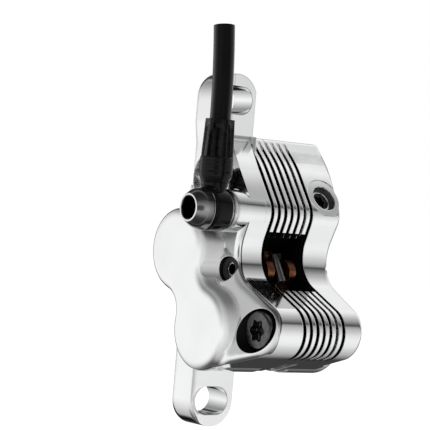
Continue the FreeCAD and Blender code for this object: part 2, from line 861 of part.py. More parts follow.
def main():
    os.makedirs("parts", exist_ok=True)
    for name, shape in parts().items():
        solids = shape.Solids
        shape = solids[0] if len(solids) == 1 else Part.makeCompound(solids)
        shape.exportStep(f"parts/{name}.step")
        print(f"{name}: {len(solids)} solid, {shape.Volume:.1f} mm3, valid {shape.isValid()}")


main()
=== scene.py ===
# %% [markdown]
# A hydraulic disc brake caliper, dressed for a product photograph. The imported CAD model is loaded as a
# fixed frame. Everything here is in metres and in the CAD's own axes: Z runs up the line of the two
# mounting posts, X is the rotor's axis and points at the wheel, and Y points at the posts.

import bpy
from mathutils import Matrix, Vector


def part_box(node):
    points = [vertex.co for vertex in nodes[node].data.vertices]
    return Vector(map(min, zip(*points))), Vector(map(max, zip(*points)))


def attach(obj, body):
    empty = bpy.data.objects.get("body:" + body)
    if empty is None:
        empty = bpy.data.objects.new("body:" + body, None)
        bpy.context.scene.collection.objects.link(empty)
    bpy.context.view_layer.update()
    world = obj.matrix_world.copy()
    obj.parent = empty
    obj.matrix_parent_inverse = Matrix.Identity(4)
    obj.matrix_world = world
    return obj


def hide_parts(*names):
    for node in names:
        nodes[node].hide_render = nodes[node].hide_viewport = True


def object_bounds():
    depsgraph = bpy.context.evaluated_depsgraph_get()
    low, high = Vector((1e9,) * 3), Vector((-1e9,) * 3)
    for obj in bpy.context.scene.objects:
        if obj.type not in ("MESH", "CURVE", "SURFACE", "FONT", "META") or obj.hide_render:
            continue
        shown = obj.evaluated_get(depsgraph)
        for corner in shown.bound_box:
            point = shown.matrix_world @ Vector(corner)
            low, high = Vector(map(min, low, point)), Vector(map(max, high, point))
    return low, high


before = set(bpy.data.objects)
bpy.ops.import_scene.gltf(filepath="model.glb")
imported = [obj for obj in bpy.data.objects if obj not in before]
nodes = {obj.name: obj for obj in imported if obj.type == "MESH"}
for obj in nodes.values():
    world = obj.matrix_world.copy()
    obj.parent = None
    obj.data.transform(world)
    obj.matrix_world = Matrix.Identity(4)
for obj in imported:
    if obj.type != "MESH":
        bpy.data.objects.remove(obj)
cad_box = [list(corner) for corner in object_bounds()]

import math

import bpy
import numpy as np
from mathutils import Matrix, Vector

mm = 0.001
axis_x = (1, 0, 0)
axis_y = (0, 1, 0)
axis_z = (0, 0, 1)
away_from_wheel = (-1, 0, 0)
print("nodes:", len(nodes), "box in mm:", [[round(c / mm, 1) for c in corner] for corner in cad_box])

# %% [markdown]
# The caliper leans on its mount, so its own directions are read from the pistons: "along" runs up the
# pads, "out" points away from the wheel's axle, and the rotor plane is where the two halves meet.
# Measuring them keeps every pattern in place if the CAD model is changed.

# %% Directions of the caliper
def centre(node):
    """Middle of a CAD node's box."""
    low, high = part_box(node)
    return (low + high) / 2


lower_piston = centre("outboard_lower_piston")
upper_piston = centre("outboard_upper_piston")
along = (upper_piston - lower_piston).normalized()
out = Vector(axis_x).cross(along)
rotor_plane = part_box("inboard_half")[0].x
middle = (upper_piston + lower_piston) / 2
middle.x = rotor_plane
print("along", [round(c, 3) for c in along], "out", [round(c, 3) for c in out])

# %% [markdown]
# The camera was found by fitting a pinhole camera to the two mounting ears, whose slots are 74 mm apart. A
# long lens close to product photography keeps the perspective weak. The shift only moves the frame.

# %% Camera
image_side = 430
camera_azimuth = math.radians(-37.46)
camera_elevation = math.radians(1.36)
camera_roll = math.radians(4.81)
camera_distance = 474.15 * mm
focal_pixels = 1910.41
axis_pixel = (205.53, 248.43)

forward = Vector((
    -math.sin(camera_azimuth) * math.cos(camera_elevation),
    math.cos(camera_azimuth) * math.cos(camera_elevation),
    -math.sin(camera_elevation),
))
level = Vector((math.cos(camera_azimuth), math.sin(camera_azimuth), 0.0))
upright = level.cross(forward)
right = level * math.cos(camera_roll) + upright * math.sin(camera_roll)
up = upright * math.cos(camera_roll) - level * math.sin(camera_roll)

camera_data = bpy.data.cameras.new("camera")
camera_data.sensor_width = 36.0
camera_data.lens = focal_pixels / image_side * camera_data.sensor_width
camera_data.shift_x = (image_side / 2 - axis_pixel[0]) / image_side
camera_data.shift_y = (axis_pixel[1] - image_side / 2) / image_side
camera_data.clip_start = 0.01
camera = bpy.data.objects.new("camera", camera_data)
turn = Matrix((right, up, -forward)).transposed().to_4x4()
camera.matrix_world = Matrix.Translation(forward * -camera_distance) @ turn
bpy.context.scene.collection.objects.link(camera)
bpy.context.scene.camera = camera
print("lens", round(camera_data.lens, 1), "mm")

# %% [markdown]
# Nodes are added through one small helper, so that a material reads as a list of steps. A value given for
# an input is either a constant or the output socket that feeds it.

# %% Node helper
def put(tree, kind, inputs=None, **settings):
    """New shader node with its settings, and its inputs set or linked by name or number."""
    item = tree.nodes.new("ShaderNode" + kind)
    for name, value in settings.items():
        setattr(item, name, value)
    for name, value in (inputs or {}).items():
        if isinstance(value, bpy.types.NodeSocket):
            tree.links.new(value, item.inputs[name])
        else:
            item.inputs[name].default_value = value
    return item


def new_material(name):
    """Material with an empty tree, its output node and a Principled shader linked to it."""
    material = bpy.data.materials.new(name)
    material.use_nodes = True
    tree = material.node_tree
    tree.nodes.clear()
    shader = put(tree, "BsdfPrincipled")
    put(tree, "OutputMaterial", {"Surface": shader.outputs["BSDF"]})
    return material, tree, shader


# %% [markdown]
# The rest of the toolbox is short sums on numbers, vectors and colours. A mask is a number between 0 and
# 1, so two masks are combined by multiplying them.

# %% Sums on sockets
def number(tree, operation, first, second=0.0):
    """Result of a Math node."""
    return put(tree, "Math", {0: first, 1: second}, operation=operation).outputs[0]


def vector(tree, operation, first, second):
    """Result of a Vector Math node on two vectors."""
    return put(tree, "VectorMath", {0: first, 1: second}, operation=operation).outputs["Vector"]


def scaled(tree, direction, share):
    """Vector times a number."""
    return put(tree, "VectorMath", {0: direction, "Scale": share}, operation="SCALE").outputs["Vector"]


def along_axis(tree, direction, axis):
    """Dot product of two vectors."""
    return put(tree, "VectorMath", {0: direction, 1: axis}, operation="DOT_PRODUCT").outputs["Value"]


def smooth_step(tree, value, low, high, start=0.0, end=1.0):
    """Value eased from start to end while it runs from low to high."""
    step = put(tree, "MapRange", {"Value": value, "From Min": low, "From Max": high,
                                  "To Min": start, "To Max": end}, interpolation_type="SMOOTHSTEP")
    return step.outputs["Result"]


def both(tree, *masks):
    """1 where all masks are 1."""
    product = masks[0]
    for mask in masks[1:]:
        product = number(tree, "MULTIPLY", product, mask)
    return product


def below(tree, value, limit):
    """1 where a value is less than a limit."""
    return number(tree, "LESS_THAN", value, limit)


def above(tree, value, limit):
    """1 where a value is more than a limit."""
    return number(tree, "GREATER_THAN", value, limit)


def inside(tree, value, half):
    """1 where a value lies within a half width of zero."""
    return below(tree, number(tree, "ABSOLUTE", value), half)


def blend(tree, share, first, second):
    """Colour between two colours, by a share."""
    return put(tree, "Mix", {"Factor": share, "A": first, "B": second}, data_type="RGBA").outputs[2]


def grey(value):
    """Neutral colour."""
    return (value, value, value, 1)


print("helpers ready")

# %% [markdown]
# A polished metal part shows little but its surroundings, so the studio is most of its look. The
# studio is a white tent. Its wall is brightest low in front, turns grey up to a dark edge where the
# tent's two sheets meet, and brightens again above. Seen along the rotor's axis this depends on one
# angle only, so a ramp of tones over that angle, in degrees, describes it. A second ramp, over height,
# is the wall on the left.

# %% Tones of the tent
front_wall = [(-180, 0.75), (-160, 0.2), (-146, 0.09), (-132, 0.14), (-98, 0.45), (-69, 0.67),
              (-52, 0.84), (-35, 0.91), (-18, 0.91), (0, 0.78), (12, 0.62), (24, 0.5), (34, 0.33),
              (39.5, 0.12), (42, 0.03), (44, 0.1), (55, 0.25), (65, 0.39), (74, 0.47), (91, 0.69),
              (114, 0.9), (150, 0.8), (180, 0.75)]
left_wall = [(-1, 0.06), (-0.8, 0.15), (-0.5, 0.68), (-0.15, 0.96), (0.0, 0.92), (0.15, 0.76), (0.3, 0.62),
             (0.5, 0.4), (0.75, 0.1), (1, 0.04)]

world = bpy.data.worlds.new("light_tent")
bpy.context.scene.world = world
world.use_nodes = True
tent = world.node_tree
tent.nodes.clear()
direction = put(tent, "TexCoord").outputs["Generated"]


def tone_ramp(tree, value, low, high, stops):
    """Tone looked up from (value, tone) pairs, for a value between low and high."""
    share = put(tree, "MapRange", {"Value": value, "From Min": low, "From Max": high}).outputs["Result"]
    node = put(tree, "ValToRGB", {"Fac": share})
    points = node.color_ramp.elements
    while len(points) > 1:
        points.remove(points[-1])
    for count, (at, tone) in enumerate(stops):
        place = (at - low) / (high - low)
        point = points[0] if count == 0 else points.new(place)
        point.position = place
        point.color = grey(tone)
    return node.outputs["Color"]


reach_x, reach_y, reach_z = (along_axis(tent, direction, axis) for axis in (axis_x, axis_y, axis_z))
sweep = number(tent, "ARCTAN2", reach_z, number(tent, "MULTIPLY", reach_y, -1.0))
front_tone = tone_ramp(tent, number(tent, "DEGREES", sweep), -180, 180, front_wall)
left_tone = tone_ramp(tent, reach_z, -1, 1, left_wall)
print("tent with", len(front_wall), "tones in front and", len(left_wall), "on the left")

# %% [markdown]
# The left wall takes over where a direction leans away from the wheel. Three places in the tent
# are dark: the hoop that carries it, a little to the wheel's side, the hole for the lens, and the
# far side behind the part. Glossy rays see the tent, camera rays see plain white, and the soft
# light on matt pieces is even.

# %% Dark places and light of the tent
left_begins, left_takes_over = 0.2, -0.1
strip_middle = 0.24
strip_half = 0.26
strip_core = 0.35 * strip_half
strip_tone = 0.06
tent_strength = 1.08
soft_strength = 0.75
white_strength = 1.0


def dark_gap(tree, tone, aim, near, far, depth):
    """Darken a tone round a direction: fully inside the near angle, not at all past the far angle."""
    closeness = along_axis(tree, direction, aim.normalized())
    rim, core = math.cos(math.radians(far)), math.cos(math.radians(near))
    return vector(tree, "MULTIPLY", tone, smooth_step(tree, closeness, rim, core, 1.0, 1.0 - depth))


leftness = smooth_step(tent, reach_x, left_begins, left_takes_over)
strip_side = number(tent, "ABSOLUTE", number(tent, "SUBTRACT", reach_x, strip_middle))
strip = smooth_step(tent, strip_side, strip_half, strip_core, 1.0, strip_tone)
tone = vector(tent, "MULTIPLY", blend(tent, leftness, front_tone, left_tone), strip)
tone = dark_gap(tent, tone, -forward, near=5, far=22, depth=0.8)
tone = dark_gap(tent, tone, forward, near=12, far=34, depth=0.85)

ray = put(tent, "LightPath").outputs
tent_seen = put(tent, "Background", {"Color": tone, "Strength": tent_strength}).outputs[0]
plain = put(tent, "Background", {"Color": grey(1), "Strength": soft_strength}).outputs[0]
white = put(tent, "Background", {"Color": grey(1), "Strength": white_strength}).outputs[0]
lit = put(tent, "MixShader", {0: ray["Is Glossy Ray"], 1: plain, 2: tent_seen}).outputs[0]
clear_view = number(tent, "MAXIMUM", ray["Is Camera Ray"], ray["Is Transmission Ray"])
seen = put(tent, "MixShader", {0: clear_view, 1: lit, 2: white}).outputs[0]
put(tent, "OutputWorld", {"Surface": seen})
print("dark strip", round(2 * strip_half, 2), "wide, tent strength", tent_strength)

# %% [markdown]
# Two soft boxes light the matt pieces. Reflections don't show them, because the tent gives those.

# %% Lamps
def soft_box(name, place, width, length, power):
    """Area lamp aimed at the part, which isn't mirrored in the metal."""
    data = bpy.data.lights.new(name, "AREA")
    data.shape = "RECTANGLE"
    data.size = width
    data.size_y = length
    data.energy = power
    lamp = bpy.data.objects.new(name, data)
    lamp.location = place
    lamp.rotation_mode = "QUATERNION"
    lamp.rotation_quaternion = (-Vector(place)).to_track_quat("-Z", "Y")
    lamp.visible_glossy = False
    bpy.context.scene.collection.objects.link(lamp)


soft_box("top_soft_box", place=(-0.1, -0.2, 0.75), width=0.5, length=0.5, power=2.2)
soft_box("left_strip", place=(-0.55, -0.15, 0.15), width=0.12, length=0.6, power=1.6)
print("two soft boxes")

# %% [markdown]
# The floor is a pale sheet below the part. It is diffuse, so it keeps the part's soft shadow, and for
# camera rays it glows a little, so that it fades into the white tent instead of ending in a line.

# %% Floor
floor_gap = 55 * mm
floor_half = 30.0
floor_height = cad_box[0][2] - floor_gap
paper_tone = 0.82
paper_glow = 0.4

corners = [(x * floor_half, y * floor_half) for x, y in ((-1, -1), (1, -1), (1, 1), (-1, 1))]
floor_mesh = bpy.data.meshes.new("floor")
floor_mesh.from_pydata([(x, y, floor_height) for x, y in corners], [], [(0, 1, 2, 3)])
floor = bpy.data.objects.new("floor", floor_mesh)
bpy.context.scene.collection.objects.link(floor)
floor_paper = bpy.data.materials.new("floor_paper")
floor_paper.use_nodes = True
paper = floor_paper.node_tree
paper.nodes.clear()
paper_ray = put(paper, "LightPath").outputs
matt = put(paper, "BsdfDiffuse", {"Color": grey(paper_tone)}).outputs[0]
glow_strength = number(paper, "MULTIPLY", paper_ray["Is Camera Ray"], paper_glow)
glow = put(paper, "Emission", {"Strength": glow_strength}).outputs[0]
paper_sum = put(paper, "AddShader", {0: matt, 1: glow}).outputs[0]
put(paper, "OutputMaterial", {"Surface": paper_sum})
floor_mesh.materials.append(floor_paper)
floor.visible_glossy = False
print("floor at", round(floor_height / mm, 1), "mm")

# %% [markdown]
# Two effects are shared by nearly all finishes, so each is a node group with named sockets.
# "fine_variation" is cloudy noise between 0 and 1, which keeps a surface from being one flat value.
# "soft_edges" rounds the shading over sharp CAD edges with the Bevel node, and gives a mask of those
# edges, where black coatings wear thin and polish is brightest, so finishes paint both wear and a painted
# edge highlight there. The mask rises as the rounded normal and the true one part, measured by the cosine
# between them.

# %% Shared effects
cloud_low, cloud_high = 0.3, 0.7
cloud_detail = 4.0
edge_none, edge_full = 0.985, 0.8
bevel_samples = 8


def new_group(name, outputs, inputs):
    """Empty shader node group with outputs given as (name, kind) and inputs as (name, kind, default)."""
    group = bpy.data.node_groups.new(name, "ShaderNodeTree")
    for socket_name, kind, default in inputs:
        socket = group.interface.new_socket(socket_name, in_out="INPUT", socket_type="NodeSocket" + kind)
        socket.default_value = default
    for socket_name, kind in outputs:
        group.interface.new_socket(socket_name, in_out="OUTPUT", socket_type="NodeSocket" + kind)
    return group, group.nodes.new("NodeGroupInput").outputs, group.nodes.new("NodeGroupOutput").inputs


def use_group(tree, group, inputs):
    """A group placed in a material, with its inputs set or linked."""
    return put(tree, "Group", inputs, node_tree=group).outputs


variation, given, result = new_group(
    "fine_variation", [("Share", "Float")],
    [("Point", "Vector", (0, 0, 0)), ("Stretch", "Vector", (1, 1, 1)), ("Scale", "Float", 500.0)])
stretched = vector(variation, "MULTIPLY", given["Point"], given["Stretch"])
cloud = put(variation, "TexNoise", {"Vector": stretched, "Scale": given["Scale"], "Detail": cloud_detail})
variation.links.new(smooth_step(variation, cloud.outputs[0], cloud_low, cloud_high), result["Share"])

edges, given, result = new_group(
    "soft_edges", [("Normal", "Vector"), ("Edge", "Float")], [("Radius", "Float", 0.2 * mm)])
bevel = put(edges, "Bevel", {"Radius": given["Radius"]}, samples=bevel_samples).outputs[0]
agreement = along_axis(edges, bevel, put(edges, "NewGeometry").outputs["Normal"])
edges.links.new(bevel, result["Normal"])
edges.links.new(smooth_step(edges, agreement, edge_none, edge_full), result["Edge"])
print("groups:", variation.name, edges.name)

# %% [markdown]
# Most pieces have one base colour, patches of a second, a third on the edges that shows thin coating and
# is also a painted edge highlight, and a roughness that varies a little. One function sets that up, and
# what is special to a piece is added afterwards.

# %% Coated and bare finishes
patch_strength = 0.6
edge_paint_begins, edge_paint_full = 0.15, 0.75


def finish(name, colour, patch, worn_and_lit_edge, metallic, rough, scale, radius=0.2 * mm, stretch=(1, 1, 1)):
    """Material with cloudy patches, a third colour on edges for wear and a painted highlight, and varying
    roughness.
    """
    material, tree, shader = new_material(name)
    point = put(tree, "TexCoord").outputs["Object"]
    share = use_group(tree, variation, {"Point": point, "Scale": scale, "Stretch": stretch})["Share"]
    rounded = use_group(tree, edges, {"Radius": radius})
    base = blend(tree, number(tree, "MULTIPLY", share, patch_strength), colour, patch)
    # Edges take the third colour where the cloud is high: worn coating, and a painted edge highlight.
    edge_wear_and_highlight = both(tree, rounded["Edge"], smooth_step(tree, share, edge_paint_begins, edge_paint_full))
    tree.links.new(blend(tree, edge_wear_and_highlight, base, worn_and_lit_edge), shader.inputs["Base Color"])
    tree.links.new(smooth_step(tree, share, 0, 1, *rough), shader.inputs["Roughness"])
    tree.links.new(rounded["Normal"], shader.inputs["Normal"])
    shader.inputs["Metallic"].default_value = metallic
    return material, tree, shader


dark_steel = finish("dark_steel", grey(0.03), patch=grey(0.02), worn_and_lit_edge=grey(0.16),
                    metallic=0.9, rough=(0.26, 0.38), scale=900.0)[0]
bolt_steel = finish("bolt_steel", grey(0.12), patch=grey(0.08), worn_and_lit_edge=grey(0.3),
                    metallic=1.0, rough=(0.22, 0.32), scale=900.0)[0]
spring_steel = finish("spring_steel", grey(0.3), patch=grey(0.2), worn_and_lit_edge=grey(0.6),
                      metallic=1.0, rough=(0.2, 0.36), scale=700.0, stretch=(1, 1, 0.1))[0]
bright_steel = finish("bright_steel", grey(0.78), patch=grey(0.6), worn_and_lit_edge=grey(0.9),
                      metallic=1.0, rough=(0.16, 0.3), scale=900.0, radius=0.1 * mm)[0]
copper_plate = finish("copper_plate", (0.3, 0.115, 0.055, 1), patch=(0.1, 0.045, 0.03, 1),
                      worn_and_lit_edge=(0.62, 0.33, 0.2, 1), metallic=1.0, rough=(0.26, 0.5), scale=650.0)[0]
seal_rubber = finish("seal_rubber", grey(0.011), patch=grey(0.02), worn_and_lit_edge=grey(0.03),
                     metallic=0.0, rough=(0.5, 0.68), scale=1200.0)[0]
liner_plastic = finish("liner_plastic", (0.68, 0.67, 0.62, 1), patch=(0.58, 0.57, 0.52, 1),
                       worn_and_lit_edge=(0.75, 0.74, 0.7, 1), metallic=0.0, rough=(0.32, 0.45), scale=500.0)[0]
piston_finish = finish("piston_finish", (0.05, 0.047, 0.045, 1), patch=(0.085, 0.075, 0.065, 1),
                       worn_and_lit_edge=(0.12, 0.11, 0.1, 1), metallic=0.0, rough=(0.35, 0.55), scale=420.0,
                       stretch=(0.25, 1, 1))[0]
print("plain finishes ready")

# %% [markdown]
# The hose has a smooth extruded jacket: nearly black, with a satin gloss and a very fine lengthwise grain.
# The bump is only a few hundredths of a millimetre, enough to soften the edge of each reflection.

# %% Hose jacket
def rim_sheen(tree, shader, low, high, weight, rough, base_gloss):
    """Clear coat that is strong where a surface turns away from the eye and absent where it faces it."""
    facing = put(tree, "LayerWeight", {"Blend": 0.5}).outputs["Facing"]
    tree.links.new(smooth_step(tree, facing, low, high, 0.0, weight), shader.inputs["Coat Weight"])
    shader.inputs["Coat Roughness"].default_value = rough
    shader.inputs["Specular IOR Level"].default_value = base_gloss


hose_rubber, tree, shader = finish("hose_rubber", grey(0.003), patch=grey(0.005), worn_and_lit_edge=grey(0.006),
                                   metallic=0.0, rough=(0.3, 0.42), scale=900.0, stretch=(1, 1, 0.08))
rim_sheen(tree, shader, low=0.12, high=0.5, weight=0.9, rough=0.25, base_gloss=0.06)
point = put(tree, "TexCoord").outputs["Object"]
grain = use_group(tree, variation, {"Point": point, "Scale": 1600.0, "Stretch": (1, 1, 0.06)})["Share"]
bump = put(tree, "Bump", {"Height": grain, "Strength": 0.12, "Distance": 0.03 * mm})
tree.links.new(bump.outputs[0], shader.inputs["Normal"])
print("hose jacket ready")

# %% [markdown]
# The friction lining is sintered metal: grains of copper, iron and graphite pressed together. Voronoi
# cells give each grain its own tone, and their distance gives the pits between grains.

# %% Sintered lining
graphite = (0.05, 0.043, 0.04, 1)
copper_grain = (0.34, 0.19, 0.11, 1)

lining, tree, shader = finish("lining", (0.2, 0.12, 0.08, 1), patch=(0.06, 0.05, 0.045, 1),
                              worn_and_lit_edge=(0.3, 0.2, 0.13, 1), metallic=0.4, rough=(0.6, 0.85), scale=900.0)
point = put(tree, "TexCoord").outputs["Object"]
grains = put(tree, "TexVoronoi", {"Vector": point, "Scale": 2600.0}).outputs
grain_tone = put(tree, "SeparateColor", {"Color": grains["Color"]}).outputs[0]
tree.links.new(blend(tree, grain_tone, graphite, copper_grain), shader.inputs["Base Color"])
bump = put(tree, "Bump", {"Height": grains["Distance"], "Strength": 0.5, "Distance": 0.06 * mm})
tree.links.new(bump.outputs[0], shader.inputs["Normal"])
print("lining ready")

# %% [markdown]
# The banjo and the ferrule are black anodised alloy, glossy at their rims. The banjo bolt is black
# chrome and the pad axle dark steel. On both, the rim of the key's socket is bare, so a thin
# bright ring shows round the socket, whose shade is painted black. The ring and the socket are found by
# their distance from the fastener's axis and their depth below the face.

# %% Black finishes
ring_blur = 0.05 * mm
bare_metal = grey(0.85)
# Black that is painted as shade into sockets, grooves, the pad window and recesses.
painted_shade_black = grey(0.012)


def axis_distance(tree, point, node):
    """Distance of a point from the line through a CAD node's middle, along the rotor's axis."""
    offset = vector(tree, "SUBTRACT", point, centre(node))
    flat = vector(tree, "MULTIPLY", offset, (0, 1, 1))
    return put(tree, "VectorMath", {0: flat}, operation="LENGTH").outputs["Value"]


def bare_ring(tree, shader, node, inner, outer, depth):
    """Bright ring on a fastener's face between two radii, down to a depth, round a socket of painted
    shade.
    """
    point = put(tree, "TexCoord").outputs["Object"]
    from_axis = axis_distance(tree, point, node)
    depth_in = number(tree, "SUBTRACT", along_axis(tree, point, axis_x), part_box(node)[0].x)
    ring = both(tree, smooth_step(tree, from_axis, inner - ring_blur, inner),
                smooth_step(tree, from_axis, outer, outer - ring_blur),
                smooth_step(tree, depth_in, depth, 0.7 * depth))
    # The socket below the ring gets painted shade.
    socket_shade = both(tree, smooth_step(tree, from_axis, inner, inner - ring_blur),
                     smooth_step(tree, depth_in, 0.3 * depth, depth))
    coated = shader.inputs["Base Color"].links[0].from_socket
    coated = blend(tree, socket_shade, coated, painted_shade_black)
    tree.links.new(blend(tree, ring, coated, bare_metal), shader.inputs["Base Color"])


black_alloy, tree, shader = finish("black_alloy", grey(0.003), patch=grey(0.005), worn_and_lit_edge=grey(0.008),
                                   metallic=0.0, rough=(0.12, 0.16), scale=800.0, radius=0.15 * mm)
rim_sheen(tree, shader, low=0.4, high=0.9, weight=0.4, rough=0.1, base_gloss=0.14)
black_chrome, tree, shader = finish("black_chrome", grey(0.3), patch=grey(0.25), worn_and_lit_edge=grey(0.45),
                                    metallic=1.0, rough=(0.05, 0.09), scale=800.0, radius=0.12 * mm)
bare_ring(tree, shader, "banjo_bolt", inner=2.98 * mm, outer=3.42 * mm, depth=0.22 * mm)
axle_steel, tree, shader = finish("axle_steel", grey(0.03), patch=grey(0.02), worn_and_lit_edge=grey(0.16),
                                  metallic=1.0, rough=(0.2, 0.3), scale=900.0)
bare_ring(tree, shader, "pad_axle", inner=1.4 * mm, outer=1.75 * mm, depth=0.5 * mm)
print("black finishes ready")

# %% [markdown]
# The two halves are mirror-polished alloy. Inside the grooves, the pad window, the lower bolt's recess and
# the pad axle's recess shade is painted: the metal there is coloured black. Those places are found from
# the caliper's own coordinates: side is the distance from the rotor plane, along runs up the pads and out
# points away from the wheel.

# %% Painted shade on the halves
groove_count = 7
groove_pitch = 2.04 * mm
groove_width = 0.95 * mm
groove_floor_out = 10.6 * mm
groove_top = 26.6 * mm
bridge_back = -8.2 * mm
window_half_width = 5.66 * mm
window_half_length = 7.26 * mm
bolt_recess = 5.25 * mm
bolt_recess_rise = 6.0 * mm
axle_recess = 3.05 * mm
axle_recess_rise = 1.6 * mm
recess_depth = 6.0 * mm
cut_margin = 0.06 * mm

polished_alloy, tree, shader = new_material("polished_alloy")
point = put(tree, "TexCoord").outputs["Object"]
point_x, point_y, point_z = (along_axis(tree, point, axis) for axis in (axis_x, axis_y, axis_z))
offset = vector(tree, "SUBTRACT", point, middle)
side, up_pad, outward = (along_axis(tree, offset, axis) for axis in (axis_x, along, out))
from_bolt = axis_distance(tree, point, "lower_body_bolt")
from_axle = axis_distance(tree, point, "pad_axle")
from_banjo = axis_distance(tree, point, "banjo_bolt")

shifted = number(tree, "ADD", side, (groove_count + 1) * groove_pitch)
from_groove = number(tree, "PINGPONG", shifted, groove_pitch / 2)
on_bridge = both(tree, above(tree, outward, groove_floor_out), below(tree, point_y, bridge_back),
                 below(tree, point_z, groove_top))
in_groove = both(tree, below(tree, from_groove, groove_width / 2),
                 inside(tree, side, groove_count * groove_pitch / 2), on_bridge)
in_window = both(tree, inside(tree, side, window_half_width), inside(tree, up_pad, window_half_length))
# Where shade is painted: the grooves and the window, then the two recesses.
recess = number(tree, "MAXIMUM", in_groove, in_window)
for distance, radius, node, rise in ((from_bolt, bolt_recess, "lower_body_bolt", bolt_recess_rise),
                                     (from_axle, axle_recess, "pad_axle", axle_recess_rise)):
    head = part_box(node)[0].x
    in_hole = both(tree, below(tree, distance, radius + cut_margin),
                   above(tree, point_x, head - rise), below(tree, point_x, head + recess_depth))
    recess = number(tree, "MAXIMUM", recess, in_hole)
print("alloy with", groove_count, "grooves")

# %% [markdown]
# The blend from the lobes to the flank is softened with a wider Bevel radius, as polishing leaves it, but
# not at the rims of the holes. The walls of the lobes are only dully polished, so they are found too: they
# stand on the flank, face outwards, and belong neither to the ears nor to the hose boss.

# %% Soft edges and lobe walls
lobe_foot = -14.8 * mm
foot_blur = 1.5 * mm
rim_start = 0.3 * mm
bolt_rim_end = 1.6 * mm
axle_rim_end = 1.5 * mm
edge_radius = 0.3 * mm
flank_radius = 1.5 * mm
wall_top, wall_foot = lobe_foot + 1.2 * mm, lobe_foot + 0.4 * mm
face_cosine, wall_cosine = 0.92, 0.5
wall_turned_out = 0.35
boss_reach = 5.3 * mm

on_flank = both(tree, smooth_step(tree, side, lobe_foot + foot_blur, lobe_foot),
                smooth_step(tree, from_bolt, bolt_recess + rim_start, bolt_recess + bolt_rim_end),
                smooth_step(tree, from_axle, axle_recess + rim_start, axle_recess + axle_rim_end))
radius = number(tree, "ADD", number(tree, "MULTIPLY", on_flank, flank_radius), edge_radius)
rounded = use_group(tree, edges, {"Radius": radius})["Normal"]
turned_out = along_axis(tree, rounded, out)
sideways = number(tree, "ABSOLUTE", along_axis(tree, rounded, axis_x))
off_boss = above(tree, from_banjo, boss_reach)
lobe_wall = both(tree, smooth_step(tree, sideways, face_cosine, wall_cosine),
                 smooth_step(tree, side, wall_top, wall_foot),
                 smooth_step(tree, turned_out, 0.0, wall_turned_out),
                 below(tree, point_y, bridge_back), off_boss)
print("edges", round(edge_radius / mm, 1), "mm, flank", round((edge_radius + flank_radius) / mm, 1), "mm")

# %% [markdown]
# Hand polishing leans the upper flank forward, so that it mirrors the black hose fitting, lets the lobes'
# walls slump into the flank and swells the crown a little. All three are turns of the normal, because the
# solids keep those faces flat: a vector is added to the normal where a mask says so.

# %% Normals of the polished halves
upper_flank_side = -14.0 * mm
flank_foot = 13.5 * mm
flank_back = -9.5 * mm
flank_roll = 1.45 * mm
flank_lean = (-0.9, -0.44, 0.0)
wall_slump = (-1.0, 0.0, 0.0)
crown_start = 15 * mm
crown_end = 27 * mm
crown_swell = 0.45
crown_turned, crown_faces_out = 0.2, 0.5
ledge_front = -8.6 * mm

from_flank = number(tree, "SUBTRACT", side, upper_flank_side)
upper_flank = both(tree, off_boss, below(tree, point_y, flank_back), above(tree, point_z, flank_foot),
                   inside(tree, from_flank, flank_roll))
unleaned = scaled(tree, rounded, number(tree, "SUBTRACT", 1.0, upper_flank))
crown_mask = both(tree, smooth_step(tree, turned_out, crown_turned, crown_faces_out),
                  smooth_step(tree, up_pad, crown_start, crown_end, 0.0, crown_swell),
                  below(tree, point_y, ledge_front))
normal = vector(tree, "ADD", unleaned, scaled(tree, flank_lean, upper_flank))
normal = vector(tree, "ADD", normal, scaled(tree, wall_slump, lobe_wall))
normal = vector(tree, "ADD", normal, scaled(tree, along, crown_mask))
normal = put(tree, "VectorMath", {0: normal}, operation="NORMALIZE").outputs["Vector"]
tree.links.new(normal, shader.inputs["Normal"])
print("crown swells from", round(crown_start / mm), "to", round(crown_end / mm), "mm along the pads")

# %% [markdown]
# The polish varies by a hair from place to place: a wide haze, and fine buffing marks on the bridge.

# %% Colour and gloss of the polish
bright_alloy = (0.885, 0.888, 0.89, 1)
hazy_alloy = (0.85, 0.855, 0.86, 1)
gloss_best, gloss_hazy = 0.07, 0.1
buffing_rough = 0.03
wall_rough = 0.3
recess_rough = 0.55

haze = use_group(tree, variation, {"Point": point, "Scale": 120.0})["Share"]
buffing = use_group(tree, variation, {"Point": point, "Scale": 1500.0, "Stretch": (0.12, 1, 1)})["Share"]
metal = blend(tree, haze, bright_alloy, hazy_alloy)
rough = smooth_step(tree, haze, 0, 1, gloss_best, gloss_hazy)
rough = number(tree, "ADD", rough, number(tree, "MULTIPLY", buffing, buffing_rough))
rough = number(tree, "ADD", rough, number(tree, "MULTIPLY", lobe_wall, wall_rough))
rough = number(tree, "MAXIMUM", rough, number(tree, "MULTIPLY", recess, recess_rough))
# The grooves, window and recesses get painted shade, black over the metal.
tree.links.new(blend(tree, recess, metal, painted_shade_black), shader.inputs["Base Color"])
tree.links.new(rough, shader.inputs["Roughness"])
shader.inputs["Metallic"].default_value = 1.0
print("polished alloy ready")

# %% [markdown]
# Each CAD node gets the finish of what it is, by its own name or by the word its name holds. A few of them
# are replaced by finer pieces further down.

# %% Finishes of the CAD nodes
finish_of = {
    "outboard_half": polished_alloy, "inboard_half": polished_alloy,
    "banjo_fitting": black_alloy, "banjo_bolt": black_alloy, "hose_ferrule": black_alloy,
    "banjo_washer_inner": bright_steel, "banjo_washer_outer": bright_steel,
    "upper_body_bolt": dark_steel, "lower_body_bolt": bolt_steel, "pad_axle": axle_steel,
    "bleed_screw": dark_steel, "pad_spring": spring_steel, "pad_axle_clip": spring_steel,
    "brake_hose": hose_rubber, "hose_liner": liner_plastic,
}
finish_of_word = {"seal": seal_rubber, "lining": lining, "plate": copper_plate, "piston": piston_finish}


def finish_for(name):
    """Finish of a CAD node."""
    if name in finish_of:
        return finish_of[name]
    return next(dress for word, dress in finish_of_word.items() if word in name)


